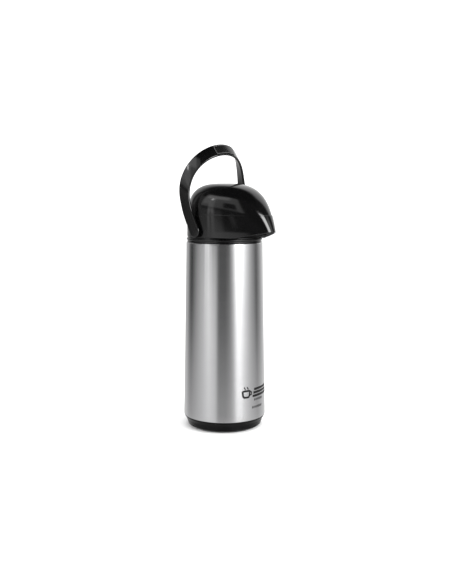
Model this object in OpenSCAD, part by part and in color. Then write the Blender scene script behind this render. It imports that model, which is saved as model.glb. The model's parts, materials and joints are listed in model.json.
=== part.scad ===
// Thermal coffee airpot: a steel-sleeved glass flask with a press pump in a beaked plastic head
// and a bent hoop handle. Millimetres, +Z up, beak towards -Y, origin at the middle of the base.

/* [Body] */
// Outer radius of the steel sleeve at its top edge
sleeve_top_r = 50.5; // [50.2:0.1:50.8]
// Outer radius of the steel sleeve at its bottom edge
sleeve_foot_r = 55; // [54.6:0.1:55.6]
// Height of the steel sleeve
sleeve_h = 232; // [228:1:240]
// Wall thickness of the steel sleeve
sleeve_t = 0.6; // [0.5:0.1:0.6]
// Height of the plastic base below the sleeve
base_h = 15.4; // [15:0.1:17]

/* [Flask] */
// Radius of the outer glass wall
flask_r = 46.5; // [45:0.5:47]
// Vacuum gap between the two glass walls
vacuum_gap = 3.1; // [2.5:0.1:3.5]
// Thickness of each glass wall
glass_t = 1.4; // [1:0.1:1.8]
// Inner radius of the flask's mouth
mouth_r = 19; // [18.5:0.5:19.5]

/* [Head] */
// Height of the neck collar that shows above the sleeve
neck_h = 7.2; // [7:0.1:8]
// Radius of the fixed head shell at the back
shell_r = 49.2; // [49:0.1:49.4]
// Height of the fixed head shell, from its rim to the press cover's seam
shell_h = 28.8; // [28.6:0.2:30.6]
// Height of the press cover above the seam
cover_h = 40.6; // [39.4:0.2:42]
// How far the beak is drawn out of the round head
beak_pull = 76; // [66:1:78]
// Height of the beak's tip above the shell's rim
beak_rise = 7.9; // [6:0.1:9]

/* [Pump] */
// Travel of the press cover
stroke = 12.5; // [11:0.1:12.6]
// Outer radius of the bellows
bellows_r = 33; // [30:0.5:34]
// Outer radius of the dip tube
dip_r = 3.5; // [3:0.1:3.6]
// Outer radius of the spout tube
spout_r = 4; // [3.6:0.1:4]

/* [Handle] */
// Half the width of the hoop over its two arms
hoop_half_w = 55.6; // [55.2:0.1:58]
// Length of the hoop from its pivots to its top, along the bend
hoop_len = 114.5; // [110:0.5:120]
// Width of the strap
strap_w = 16.4; // [15:0.1:18]
// Thickness of the strap
strap_t = 3.4; // [3:0.1:4]
// Lean of the arms away from the beak, in degrees
arm_lean = 28.4; // [22:0.2:32]
// Straight length of each arm above its pivot
arm_straight = 21.1; // [18:0.1:28]
// Radius of the bend that brings the hoop forward again
hoop_bend_r = 75.1; // [68:0.1:82]
// Twist of the strap over the top of the hoop, which turns its face forward, in degrees
strap_twist = 16.1; // [8:0.1:18]
// Height of the pivots above the shell's rim
pivot_rise = 8.1; // [8:0.1:9]

/* [Hidden] */

$fn = 64;
eps = 0.05;

black = [0.06, 0.06, 0.065];
dark_rubber = [0.12, 0.12, 0.12];
steel = [0.72, 0.72, 0.73];
natural = [0.88, 0.88, 0.85];
glass = [0.75, 0.82, 0.85];

// Heights of the joints between the pieces, from the bottom up
z_sleeve = base_h;
z_neck = z_sleeve + sleeve_h;
z_flange = z_neck + neck_h;
rim_gap = 0.4;
z_rim = z_flange + rim_gap;
z_seam = z_rim + shell_h;
z_top = z_seam + cover_h;
z_pivot = z_rim + pivot_rise;
z_tip = z_rim + beak_rise;

// Flask
z_mouth = z_neck - 4.4;
z_glass_foot = z_sleeve + 6.6;
inner_r = flask_r - glass_t - vacuum_gap;
z_shoulder = z_mouth - 38;
bowl_h = 23;
shoulder_h = 31;
lip_h = 1.4;
mouth_lip_w = 5;

// Neck
collar_bore_r = 27.1;
collar_wall = 2.9;
spigot_r = collar_bore_r - 0.1;
gasket_h = 2;

// Pump
flange_t = 2.7;
flange_r = 47.6;
column_r = 16;
z_deck = z_rim + 13;
deck_t = 2;
deck_r = 38;
bellows_h = 42;
bellows_wall = 0.8;
bellows_folds = 5;
fold_depth = 7;
z_bellows = z_deck + deck_t;
z_plate = z_bellows + bellows_h;
plate_t = 3;
plate_r = 34;
z_spout = z_rim + 8.5;
spout_wall = 1;
spout_y = -70;
spout_bend_r = 4.6;
z_seat = z_rim + 1;
seat_h = 2;
ball_r = 3;
air_x = 11;
air_r = 1.5;
screw_ring_r = 43.5;
screw_angles = [90, 210, 330];
cover_screw_ring_r = 14;
screw_r = 1.5;

// Spring
spring_r = 19;
spring_wire_r = 0.8;
spring_turns = 6;
spring_steps = 14;

// Head skin: the outline at each height is a circle drawn out forwards, given by its support
// function. skin_n is the number of points round it, and the dome above skin_z is a superellipse.
skin_n = 60;
skin_z = z_rim + 15;
dome_across = 3;
dome_up = 3.5;
pull_power = 1.24;
pull_loss = 0.88;
beak_turn = 0.52;
beak_soft = 0.12;
shell_lip = 0.6;
shell_wall = 1.6;
slide_gap = 0.3;
cover_wall = 1.6;
skirt_r = shell_r - shell_lip - slide_gap;
cover_r = skirt_r + 0.2;
cover_skirt = 1.6;
dome_steps = 12;
ledge_r = 40;
ledge_t = 2;
tray_t = 1.6;
tray_rise = 0.2;
tray_slope = 12.2;

// Handle
pin_r = 3;
boss_r = 6;
pin_head_r = 3.6;
pin_head_t = 1.4;
pin_x = 46;
bore_x = 40;
arm_gap = 0.3;
arm_skin = 1;
arch_start = 47.1;
twist_from = 34.4;
twist_to = 73.2;
arch_steps = 28;
grip_half_w = 16.3;
grip_t = 0.8;
grip_gap = 0.15;
grip_inset = 2.2;
strap_edge = 1.1;

// Points on an elliptical arc round [x, y], from angle a0 to a1 in n steps
function arc(x, y, rx, ry, a0, a1, n) =
    [for (i = [0:n]) let (a = a0 + (a1 - a0) * i / n) [x + rx * cos(a), y + ry * sin(a)]];

// Distance that the beak moves the outline along a normal whose forward part is u, and its slope
function draw_out(u) = ((u - beak_turn) + sqrt(pow(u - beak_turn, 2) + pow(beak_soft, 2))) / 2;
function draw_out_slope(u) = (1 + (u - beak_turn) / sqrt(pow(u - beak_turn, 2) + pow(beak_soft, 2))) / 2;

// Point of the outline of radius r and pull c whose normal stands at angle a from the beak
function outline_point(r, c, a) =
    let (h = r + c * draw_out(cos(a)), dh = -c * draw_out_slope(cos(a)) * sin(a))
    [h * sin(a) + dh * cos(a), -h * cos(a) + dh * sin(a)];

// Pull of the beak at height z: whole up to its tip, almost gone at the top of the dome
function pull(z) = beak_pull * (1 - pull_loss * pow(max(0, z - z_tip) / (z_top - z_tip), pull_power));

// Height of the shell's lower rim under the point y: level round the neck, rising to the tip
beak_reach = shell_r + beak_pull * draw_out(1);
function rim_z(y) = z_rim + beak_rise * max(0, -y - shell_r) / (beak_reach - shell_r);

// One ring of the head shell, f of the way up from its rim to the seam, inset from the outside
function shell_ring(inset, f) = [
    for (i = [0:skin_n - 1])
        let (
            a = 360 * i / skin_n,
            foot = outline_point(shell_r, beak_pull, a),
            z = z_rim + f * shell_h + (1 - f) * (rim_z(foot[1]) - z_rim),
            p = outline_point(shell_r - inset, pull(z), a)
        )
        [p[0], p[1], z]
];

// A level ring of the outline of radius r and pull c, at height z
function level_ring(r, c, z) = [
    for (i = [0:skin_n - 1])
        let (p = outline_point(r, c, 360 * i / skin_n))
        [p[0], p[1], z]
];

// One ring of the press cover, at angle t up the dome's superellipse
function dome_z(t, drop) = skin_z + (z_top - drop - skin_z) * pow(sin(t), 2 / dome_up);
function cover_ring(t, inset) =
    let (
        z = dome_z(t, 0),
        r = (cover_r - inset) * pow(cos(t), 2 / dome_across)
    )
    level_ring(r, pull(z), dome_z(t, inset));
function skirt_ring(inset, z) = level_ring(skirt_r - inset, pull(z_seam), z);

// Faces that join ring j to ring k, for rings of n points stored one after the other
function join_rings(j, k, n) = [
    for (i = [0:n - 1])
        let (a = j * n + i, b = j * n + (i + 1) % n, c = k * n + i, d = k * n + (i + 1) % n)
        each [[a, c, d], [a, d, b]]
];
// A closed loop of rings, as a solid
module ring_loop(rings) {
    n = len(rings[0]);
    m = len(rings);
    polyhedron([for (ring = rings) each ring], [for (j = [0:m - 1]) each join_rings(j, (j + 1) % m, n)]);
}
// A tube through rings of points, closed at both ends, as a solid
module ring_tube(rings) {
    n = len(rings[0]);
    m = len(rings);
    sides = [for (j = [0:m - 2]) each join_rings(j, j + 1, n)];
    ends = [[for (i = [0:n - 1]) i], [for (i = [n - 1:-1:0]) (m - 1) * n + i]];
    polyhedron([for (ring = rings) each ring], concat(sides, ends));
}

// ---- Base and flask -------------------------------------------------------------------------

module base_cap() {
    foot_r = 46.4;
    band_r = 50.1;
    edge_r = 3.2;
    recess_r = 31.2;
    floor_z = 4;
    up_r = sleeve_foot_r - sleeve_t - 0.5;
    color(black) rotate_extrude() polygon(concat(
        [[0, 1.5], [recess_r, 1.5], [recess_r, 0]],
        arc(foot_r, edge_r, band_r - foot_r, edge_r, -90, 0, 6),
        [[band_r - 0.5, edge_r + 0.5], [band_r, edge_r + 1], [50.9, 6.6], [51.5, 8.6], [52.4, 10.6]],
        [[sleeve_foot_r - 1.5, 12.8], [sleeve_foot_r - 0.4, z_sleeve], [up_r, z_sleeve]],
        [[up_r, z_sleeve + 11.6]],
        [[up_r - 2.4, z_sleeve + 11.6], [up_r - 2.4, z_sleeve], [48.2, 12], [48.2, floor_z], [0, floor_z]]
    ));
}

module foot_pad() {
    pad_r = 31;
    color(dark_rubber) cylinder(r = pad_r, h = 1.5);
}

module flask_support() {
    in_r = 26;
    out_r = 34;
    z_touch = z_glass_foot + bowl_h * (1 - sqrt(1 - pow(in_r / flask_r, 2)));
    color(dark_rubber) rotate_extrude()
        polygon([[in_r, 4], [out_r, 4], [out_r, z_touch - 0.1], [in_r, z_touch - 0.1]]);
}

// Outer profile of a flask wall from the middle of its bowl to the foot of its neck
function flask_profile(r, neck_r, z_foot, bowl, z_shoulder, rise) = concat(
    arc(0, z_foot + bowl, r, bowl, -90, 0, 10),
    arc(r - (r - neck_r) / 2, z_shoulder, (r - neck_r) / 2, rise / 2, 0, 90, 6),
    arc(neck_r + (r - neck_r) / 2, z_shoulder + rise, (r - neck_r) / 2, rise / 2, 270, 180, 6)
);
module flask_wall(r, neck_r, z_foot, bowl, z_shoulder, z_end, t) {
    out = flask_profile(r, neck_r, z_foot, bowl, z_shoulder, shoulder_h);
    inn = flask_profile(r - t, neck_r - t, z_foot + t, bowl, z_shoulder - t / 2, shoulder_h);
    rotate_extrude() polygon(concat(
        out, [[neck_r, z_end], [neck_r - t, z_end]], [for (i = [len(inn) - 1:-1:0]) inn[i]]
    ));
}

module glass_outer() {
    neck_r = mouth_r + mouth_lip_w;
    color(glass) {
        flask_wall(flask_r, neck_r, z_glass_foot, bowl_h, z_shoulder, z_mouth - lip_h, glass_t);
        translate([0, 0, z_mouth - lip_h]) difference() {
            cylinder(r = neck_r, h = lip_h);
            translate([0, 0, -1]) cylinder(r = mouth_r, h = lip_h + 2);
        }
    }
}

module glass_inner() {
    neck_r = mouth_r + glass_t;
    z_foot = z_glass_foot + 8;
    color(glass)
        flask_wall(inner_r, neck_r, z_foot, bowl_h - 2, z_shoulder - 4, z_mouth - lip_h, glass_t);
}

module steel_sleeve() {
    color(steel) rotate_extrude() polygon([
        [sleeve_foot_r - sleeve_t, z_sleeve], [sleeve_foot_r, z_sleeve],
        [sleeve_top_r, z_neck], [sleeve_top_r - sleeve_t, z_neck]
    ]);
}

// ---- Neck -----------------------------------------------------------------------------------

module neck_collar() {
    in_r = collar_bore_r;
    skirt_r = sleeve_top_r - sleeve_t - 0.3;
    band_r = shell_r;
    bead_r = sleeve_top_r - 0.2;
    wall_r = band_r - 2.7;
    color(black) rotate_extrude() polygon([
        [in_r, z_neck - 11.4], [in_r + collar_wall, z_neck - 11.4], [in_r + collar_wall, z_neck - 3.4],
        [wall_r, z_neck - 3.4], [wall_r, z_neck - 9.4], [skirt_r, z_neck - 9.4], [skirt_r, z_neck],
        [bead_r, z_neck], [band_r, z_neck + 0.4], [band_r, z_neck + 3.2], [bead_r, z_neck + 3.6],
        [bead_r, z_neck + 5.6], [band_r, z_neck + 6], [band_r, z_flange], [wall_r, z_flange],
        [wall_r, z_neck - 0.4], [in_r + collar_wall, z_neck - 0.4],
        [in_r + collar_wall, z_flange], [in_r, z_flange]
    ]);
}

module neck_cushion() {
    neck_r = mouth_r + mouth_lip_w;
    color(dark_rubber) translate([0, 0, z_neck - 11]) difference() {
        cylinder(r = collar_bore_r, h = 6);
        translate([0, 0, -1]) cylinder(r = neck_r, h = 8);
    }
}

module neck_gasket() {
    color(dark_rubber) translate([0, 0, z_mouth]) difference() {
        cylinder(r = collar_bore_r - 0.3, h = gasket_h);
        translate([0, 0, -1]) cylinder(r = mouth_r + 0.3, h = gasket_h + 2);
    }
}

// ---- Pump -----------------------------------------------------------------------------------

module pump_base() {
    stopper_r = mouth_r - 1.5;
    z_stopper = z_mouth - 12;
    z_spigot = z_mouth + gasket_h;
    chamber_r = ball_r + 0.5;
    groove_z = z_mouth - 8;
    color(black) difference() {
        rotate_extrude() polygon([
            [0, z_stopper], [stopper_r, z_stopper], [stopper_r, groove_z], [stopper_r - 1.6, groove_z],
            [stopper_r - 1.6, groove_z + 3], [stopper_r, groove_z + 3], [stopper_r, z_spigot],
            [spigot_r, z_spigot], [spigot_r, z_flange], [flange_r, z_flange],
            [flange_r, z_flange + flange_t], [column_r, z_flange + flange_t], [column_r, z_deck],
            [deck_r, z_deck], [deck_r, z_bellows], [0, z_bellows]
        ]);
        translate([0, 0, z_stopper - 1]) cylinder(r = dip_r + eps, h = z_seat - z_stopper + 1);
        translate([0, 0, z_seat]) cylinder(r = spout_r + eps, h = seat_h);
        translate([0, 0, z_seat + seat_h]) cylinder(r = chamber_r, h = z_spout - z_seat - seat_h + 3);
        translate([0, 0, z_spout]) rotate([90, 0, 0]) cylinder(r = spout_r + eps, h = column_r + 1);
        translate([air_x, 0, z_stopper - 1]) cylinder(r = air_r, h = z_bellows - z_stopper + 2);
        for (a = screw_angles) rotate(a) translate([screw_ring_r, 0, z_flange - 1]) {
            cylinder(r = screw_r + eps, h = flange_t + 2);
            cylinder(r = 2 * screw_r + 0.1, h = 2.5);
        }
    }
}

module stopper_ring() {
    color(dark_rubber) translate([0, 0, z_mouth - 8]) difference() {
        cylinder(r = mouth_r - 0.1, h = 3);
        translate([0, 0, -1]) cylinder(r = mouth_r - 3.1, h = 5);
    }
}

module dip_tube() {
    z_foot = z_glass_foot + 20;
    color(natural) translate([0, 0, z_foot]) difference() {
        cylinder(r = dip_r, h = z_seat - z_foot);
        translate([0, 0, -1]) cylinder(r = dip_r - 1, h = z_seat - z_foot + 2);
    }
}

module valve_seat() {
    color(natural) translate([0, 0, z_seat]) difference() {
        cylinder(r = spout_r, h = seat_h);
        translate([0, 0, -1]) cylinder(r = ball_r - 1.2, h = seat_h + 2);
    }
}

module valve_ball() {
    color(steel) translate([0, 0, z_seat + seat_h + ball_r - 0.4]) sphere(r = ball_r);
}

module spout_tube() {
    inlet_y = -8;
    bend_y = spout_y + spout_bend_r;
    z_bend = z_spout - spout_bend_r;
    color(black) {
        difference() {
            translate([0, inlet_y, z_spout]) rotate([90, 0, 0]) cylinder(r = spout_r, h = inlet_y - bend_y);
            translate([0, inlet_y + 1, z_spout]) rotate([90, 0, 0])
                cylinder(r = spout_r - spout_wall, h = inlet_y - bend_y + 2);
        }
        translate([0, bend_y, z_bend]) rotate([90, 0, -90]) rotate_extrude(angle = 90)
            translate([spout_bend_r, 0]) difference() {
                circle(r = spout_r);
                circle(r = spout_r - spout_wall);
            }
    }
}

module bellows() {
    pitch = bellows_h / bellows_folds;
    flat = 1.2;
    out = [for (i = [0:bellows_folds - 1]) each [
        [bellows_r, i * pitch + (i == 0 ? 0 : flat)], [bellows_r, i * pitch + 2 * flat],
        [bellows_r - fold_depth, (i + 0.5) * pitch + flat]
    ]];
    outside = concat(out, [[bellows_r, bellows_h - flat], [bellows_r, bellows_h]]);
    inside = [for (i = [len(outside) - 1:-1:0]) outside[i] - [bellows_wall, 0]];
    color(dark_rubber) translate([0, 0, z_bellows]) rotate_extrude() polygon(concat(outside, inside));
}

module bellows_ring() {
    color(black) translate([0, 0, z_bellows]) difference() {
        cylinder(r = deck_r - 0.5, h = 2);
        translate([0, 0, -1]) cylinder(r = bellows_r + 0.2, h = 4);
    }
}

module return_spring() {
    climb = bellows_h - 2 * spring_wire_r;
    steps = spring_turns * spring_steps;
    sides = 8;
    color(steel) translate([0, 0, z_bellows + spring_wire_r]) ring_tube([
        for (i = [0:steps])
            let (a = 360 * i / spring_steps, z = climb * i / steps)
            [for (k = [0:sides - 1])
                let (b = -360 * k / sides, r = spring_r + spring_wire_r * cos(b))
                [r * cos(a), r * sin(a), z + spring_wire_r * sin(b)]]
    ]);
}

module press_plate() {
    color(black) translate([0, 0, z_plate]) difference() {
        cylinder(r = plate_r, h = plate_t);
        translate([0, 0, -1]) cylinder(r = air_r, h = plate_t + 2);
        for (a = screw_angles) rotate(a) translate([cover_screw_ring_r, 0, -1])
            cylinder(r = screw_r + eps, h = plate_t + 2);
    }
}

module air_flap() {
    color(dark_rubber) translate([air_x, 0, z_bellows]) cylinder(r = 2.5 * air_r, h = 0.8);
}

module inlet_flap() {
    color(dark_rubber) translate([0, 0, z_plate - 0.8]) cylinder(r = 3 * air_r, h = 0.8);
}

module screw(length) {
    cylinder(r = 2 * screw_r, h = screw_r);
    translate([0, 0, screw_r]) cylinder(r = screw_r, h = length);
}

module head_screws() {
    color(steel) for (a = screw_angles)
        rotate(a) translate([screw_ring_r, 0, z_flange]) screw(5);
}

module cover_screws() {
    color(steel) for (a = screw_angles)
        rotate(a) translate([cover_screw_ring_r, 0, z_plate - screw_r]) screw(plate_t + 5);
}

// ---- Head -----------------------------------------------------------------------------------

module head_shell() {
    levels = [0, 0.2, 0.4, 0.6, 0.8, 1];
    lip_foot = 1 - (cover_skirt + stroke + 2) / shell_h;
    ledge_z = z_flange + flange_t;
    color(black) difference() {
        union() {
            ring_loop(concat(
                [for (f = levels) shell_ring(0, f)],
                [shell_ring(shell_lip, 1), shell_ring(shell_lip, lip_foot)],
                [shell_ring(shell_wall, lip_foot - 0.1), shell_ring(shell_wall, 0)]
            ));
            translate([0, 0, ledge_z]) difference() {
                cylinder(r = shell_r - shell_wall / 2, h = ledge_t);
                translate([0, 0, -1]) cylinder(r = ledge_r, h = ledge_t + 2);
            }
            for (a = screw_angles) rotate(a) translate([screw_ring_r, 0, ledge_z])
                cylinder(r = 2 * screw_r, h = 5);
            for (side = [0, 180]) rotate(side) translate([pin_x, 0, z_pivot]) rotate([0, 90, 0])
                cylinder(r = boss_r, h = hoop_half_w - strap_t - arm_gap - pin_x);
        }
        for (a = screw_angles) rotate(a) translate([screw_ring_r, 0, ledge_z - 1])
            cylinder(r = screw_r + eps, h = 5);
        for (side = [0, 180]) rotate(side) translate([bore_x, 0, z_pivot]) rotate([0, 90, 0])
            cylinder(r = pin_r + eps, h = hoop_half_w - bore_x);
    }
}

module beak_tray() {
    back_y = -sleeve_top_r - 0.3;
    inset_r = shell_r - shell_wall - 0.2;
    color(black) intersection() {
        linear_extrude(height = z_top)
            polygon([for (p = level_ring(inset_r, beak_pull - 1, 0)) [p[0], p[1]]]);
        difference() {
            translate([0, back_y, z_rim + tray_rise]) rotate([-tray_slope, 0, 0]) translate([-60, -60, 0])
                cube([120, 72, tray_t]);
            cylinder(r = -back_y, h = z_top);
            hull() for (y = [spout_y, spout_y + 3.6]) translate([0, y, 0])
                cylinder(r = spout_r + 0.6, h = z_top);
        }
    }
}

module press_cover() {
    first = asin(pow((z_seam - skin_z) / (z_top - skin_z), dome_up / 2));
    turn = [for (i = [0:dome_steps]) first + (88 - first) * i / dome_steps];
    z_skirt = z_seam - cover_skirt;
    outer = concat([skirt_ring(0, z_skirt)], [for (t = turn) cover_ring(t, 0)]);
    inner = concat([skirt_ring(cover_wall, z_skirt)], [for (t = turn) cover_ring(t, cover_wall)]);
    n = skin_n;
    m = len(outer);
    rings = concat(outer, inner);
    points = concat([for (ring = rings) each ring], [[0, 0, z_top], [0, 0, z_top - cover_wall]]);
    crown = [for (i = [0:n - 1]) [(m - 1) * n + i, 2 * m * n, (m - 1) * n + (i + 1) % n]];
    ceiling = [for (i = [0:n - 1]) [(2 * m - 1) * n + i, (2 * m - 1) * n + (i + 1) % n, 2 * m * n + 1]];
    skin = [for (j = [0:m - 2]) each join_rings(j, j + 1, n)];
    lining = [for (j = [m:2 * m - 2]) each join_rings(j + 1, j, n)];
    boss_h = z_top - z_plate - plate_t - 2.2;
    color(black) difference() {
        union() {
            polyhedron(points, concat(skin, crown, lining, ceiling, join_rings(m, 0, n)));
            for (a = screw_angles) rotate(a) translate([cover_screw_ring_r, 0, z_plate + plate_t])
                cylinder(r = 2 * screw_r, h = boss_h);
        }
        for (a = screw_angles) rotate(a) translate([cover_screw_ring_r, 0, z_plate])
            cylinder(r = screw_r + eps, h = plate_t + 5.2);
    }
}

// ---- Handle ---------------------------------------------------------------------------------

module pivot_pins() {
    color(steel) for (side = [0, 180]) rotate(side) translate([pin_x, 0, z_pivot]) rotate([0, 90, 0]) {
        cylinder(r = pin_r, h = hoop_half_w - arm_skin - 0.2 - pin_x);
        translate([0, 0, -pin_head_t]) cylinder(r = pin_head_r, h = pin_head_t);
    }
}

// The hoop is laid out flat as [x, s], s being the length up from the pivots, and then bent
// along a line that leans back by arm_lean and curves forward at hoop_bend_r.
arch_h = hoop_len - arch_start;
function hoop_flat(t) = t < 0
    ? [hoop_half_w, arch_start + t]
    : [hoop_half_w * cos(t), arch_start + arch_h * sin(t)];
function hoop_normal(t) =
    t < 0 ? [1, 0] : let (n = [arch_h * cos(t), hoop_half_w * sin(t)]) n / norm(n);
function lean(s) = arm_lean - max(0, s - arm_straight) / hoop_bend_r * 180 / PI;
function bend(s) = s <= arm_straight
    ? [s * sin(arm_lean), s * cos(arm_lean)]
    : [arm_straight * sin(arm_lean) + hoop_bend_r * (cos(lean(s)) - cos(arm_lean)),
       arm_straight * cos(arm_lean) + hoop_bend_r * (sin(arm_lean) - sin(lean(s)))];
// Twist of the strap at length s, coming in smoothly between twist_from and twist_to
function twist(s) =
    let (f = min(1, max(0, (s - twist_from) / (twist_to - twist_from))))
    strap_twist * f * f * (3 - 2 * f);
// Point of the hoop at station t, out from its middle line by n and across the strap by v
function hoop_point(t, side, n, v) =
    let (
        w = twist(hoop_flat(t)[1]),
        p = hoop_flat(t) + (n * cos(w) + v * sin(w)) * hoop_normal(t),
        across = v * cos(w) - n * sin(w),
        b = bend(p[1]),
        q = lean(p[1])
    )
    [side * p[0], b[0] + across * cos(q), z_pivot + b[1] - across * sin(q)];
// Half the strap's width at station t: whole along the hoop, and round below the pivots
function half_width(t) = let (s = min(0, arch_start + t)) sqrt(pow(strap_w / 2, 2) - s * s);
function strap_ring(t, side, top, foot, inset, bevel) =
    let (
        half = half_width(t) - inset,
        edge = min(bevel, half / 2),
        pts = [
            [top, edge - half], [top - bevel, -half], [foot + bevel, -half], [foot, edge - half],
            [foot, half - edge], [foot + bevel, half], [top - bevel, half], [top, half - edge]
        ]
    )
    [for (p = pts) hoop_point(t, side, p[0], p[1])];
// Stations from one pivot over the top to the other, as [t, side]
end_stops = [for (a = [80:-16:16]) -arch_start - strap_w / 2 * sin(a)];
arm_stops = [-arch_start, -arch_start + 20, arm_straight - arch_start, -8, -4, 0];
arch_stops = [for (i = [1:arch_steps - 1]) 90 * i / arch_steps];
half_stops = concat(end_stops, arm_stops, arch_stops);
hoop_stops = concat(
    [for (t = half_stops) [t, -1]], [[90, 1]],
    [for (i = [len(half_stops) - 1:-1:0]) [half_stops[i], 1]]
);

module handle() {
    color(black) difference() {
        ring_tube([for (s = hoop_stops) strap_ring(s[0], s[1], 0, -strap_t, 0, strap_edge)]);
        for (side = [0, 180]) rotate(side) translate([bore_x, 0, z_pivot]) rotate([0, 90, 0])
            cylinder(r = pin_r + eps, h = hoop_half_w - arm_skin - bore_x);
    }
}

module handle_grip() {
    stops = [for (s = hoop_stops) if (abs(hoop_flat(s[0])[0]) <= grip_half_w + 1) s];
    color(dark_rubber) ring_tube([
        for (s = stops) strap_ring(s[0], s[1], grip_t + grip_gap, grip_gap, grip_inset, grip_t / 3)
    ]);
}

base_cap();
foot_pad();
flask_support();
glass_outer();
glass_inner();
steel_sleeve();
neck_collar();
neck_cushion();
neck_gasket();
pump_base();
stopper_ring();
dip_tube();
valve_seat();
valve_ball();
spout_tube();
beak_tray();
head_shell();
head_screws();
bellows();
bellows_ring();
return_spring();
press_plate();
air_flap();
inlet_flap();
cover_screws();
press_cover();
pivot_pins();
handle();
handle_grip();
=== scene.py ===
"""Looks of a thermal coffee airpot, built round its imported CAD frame. Metres, +Z up, beak to -Y."""
import json
import math
from functools import partial

import bmesh
import bpy
import numpy as np
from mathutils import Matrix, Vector

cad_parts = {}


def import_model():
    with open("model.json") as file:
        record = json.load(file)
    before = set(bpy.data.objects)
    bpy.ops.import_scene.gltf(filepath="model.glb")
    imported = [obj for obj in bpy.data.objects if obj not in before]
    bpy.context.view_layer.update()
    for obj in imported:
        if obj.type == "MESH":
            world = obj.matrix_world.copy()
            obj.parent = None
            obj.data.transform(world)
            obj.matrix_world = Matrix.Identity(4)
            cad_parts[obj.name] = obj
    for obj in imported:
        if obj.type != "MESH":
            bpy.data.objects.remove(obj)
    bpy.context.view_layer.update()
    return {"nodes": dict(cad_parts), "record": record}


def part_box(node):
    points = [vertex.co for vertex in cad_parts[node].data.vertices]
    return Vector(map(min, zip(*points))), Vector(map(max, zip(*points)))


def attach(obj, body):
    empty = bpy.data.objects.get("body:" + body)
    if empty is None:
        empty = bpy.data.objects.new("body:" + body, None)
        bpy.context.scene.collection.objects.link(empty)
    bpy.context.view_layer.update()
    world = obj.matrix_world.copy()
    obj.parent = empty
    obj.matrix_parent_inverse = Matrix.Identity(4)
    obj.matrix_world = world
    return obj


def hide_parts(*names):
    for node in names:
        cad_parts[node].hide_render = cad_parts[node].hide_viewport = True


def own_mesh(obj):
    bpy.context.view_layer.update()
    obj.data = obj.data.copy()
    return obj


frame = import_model()
MM = 0.001
WELD = 1e-7  # points nearer than this are one point
SHARP = 35  # degrees between faces at which an edge stays crisp

# ---- Sizes, from the frame's boxes and the design's own driving dimensions -------------------

SLEEVE_LOW, SLEEVE_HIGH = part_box("steel_sleeve")
COLLAR_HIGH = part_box("neck_collar")[1]
SHELL_LOW, SHELL_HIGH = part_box("head_shell")
COVER_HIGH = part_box("press_cover")[1]
BELLOWS_LOW, BELLOWS_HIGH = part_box("bellows")
SPRING_LOW, SPRING_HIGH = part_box("return_spring")
PIN_LOW, PIN_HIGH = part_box("pivot_pins")
PAD_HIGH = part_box("foot_pad")[1]

Z_SLEEVE = SLEEVE_LOW.z
Z_NECK = SLEEVE_HIGH.z
Z_FLANGE = COLLAR_HIGH.z
Z_RIM = SHELL_LOW.z
Z_SEAM = SHELL_HIGH.z
Z_TOP = COVER_HIGH.z
Z_PIVOT = (PIN_LOW.z + PIN_HIGH.z) / 2

SLEEVE_TOP_R = 50.5 * MM
SLEEVE_FOOT_R = SLEEVE_HIGH.x
SHELL_R = 49.2 * MM
BEAK_PULL = 76.0 * MM
BEAK_RISE = 7.9 * MM
Z_TIP = Z_RIM + BEAK_RISE

# ---- Mesh helpers ----------------------------------------------------------------------------


def mesh_object(name, verts, faces, sharp=SHARP):
    """A smooth-shaded mesh object, with edges over sharp degrees kept crisp."""
    mesh = bpy.data.meshes.new(name)
    mesh.from_pydata([tuple(v) for v in verts], [], faces)
    mesh.validate()
    bm = bmesh.new()
    bm.from_mesh(mesh)
    bmesh.ops.remove_doubles(bm, verts=bm.verts, dist=WELD)
    bmesh.ops.recalc_face_normals(bm, faces=bm.faces)
    bm.to_mesh(mesh)
    bm.free()
    mesh.polygons.foreach_set("use_smooth", [True] * len(mesh.polygons))
    mesh.set_sharp_from_angle(angle=math.radians(sharp))
    obj = bpy.data.objects.new(name, mesh)
    bpy.context.scene.collection.objects.link(obj)
    return obj


def ring_faces(rows, n, closed):
    """Quads between rows of n points, each row a closed ring; closed joins the last row to the first."""
    faces = []
    last = rows if closed else rows - 1
    for j in range(last):
        k = (j + 1) % rows
        for i in range(n):
            m = (i + 1) % n
            faces.append((j * n + i, j * n + m, k * n + m, k * n + i))
    return faces


def loft(name, rings, closed=False, sharp=SHARP):
    """A skin through equal rings of points. Open lofts are capped at both ends."""
    n = len(rings[0])
    verts = [p for ring in rings for p in ring]
    faces = ring_faces(len(rings), n, closed)
    if not closed:
        faces.append(tuple(range(n))[::-1])
        faces.append(tuple((len(rings) - 1) * n + i for i in range(n)))
    return mesh_object(name, verts, faces, sharp)


def lathe(name, profile, steps, closed=True):
    """A solid of revolution from [r, z] points. Points on the axis close it; otherwise it is a ring."""
    verts, rows, faces = [], [], []
    for r, z in profile:
        if r < WELD:
            rows.append([len(verts)] * steps)
            verts.append((0, 0, z))
        else:
            rows.append(list(range(len(verts), len(verts) + steps)))
            for i in range(steps):
                a = 2 * math.pi * i / steps
                verts.append((r * math.cos(a), r * math.sin(a), z))
    pairs = list(zip(rows, rows[1:]))
    if closed and profile[0][0] > WELD:
        pairs.append((rows[-1], rows[0]))
    for low, high in pairs:
        for i in range(steps):
            m = (i + 1) % steps
            face = list(dict.fromkeys((low[i], low[m], high[m], high[i])))
            if len(face) > 2:
                faces.append(tuple(face))
    return mesh_object(name, verts, faces)


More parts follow.
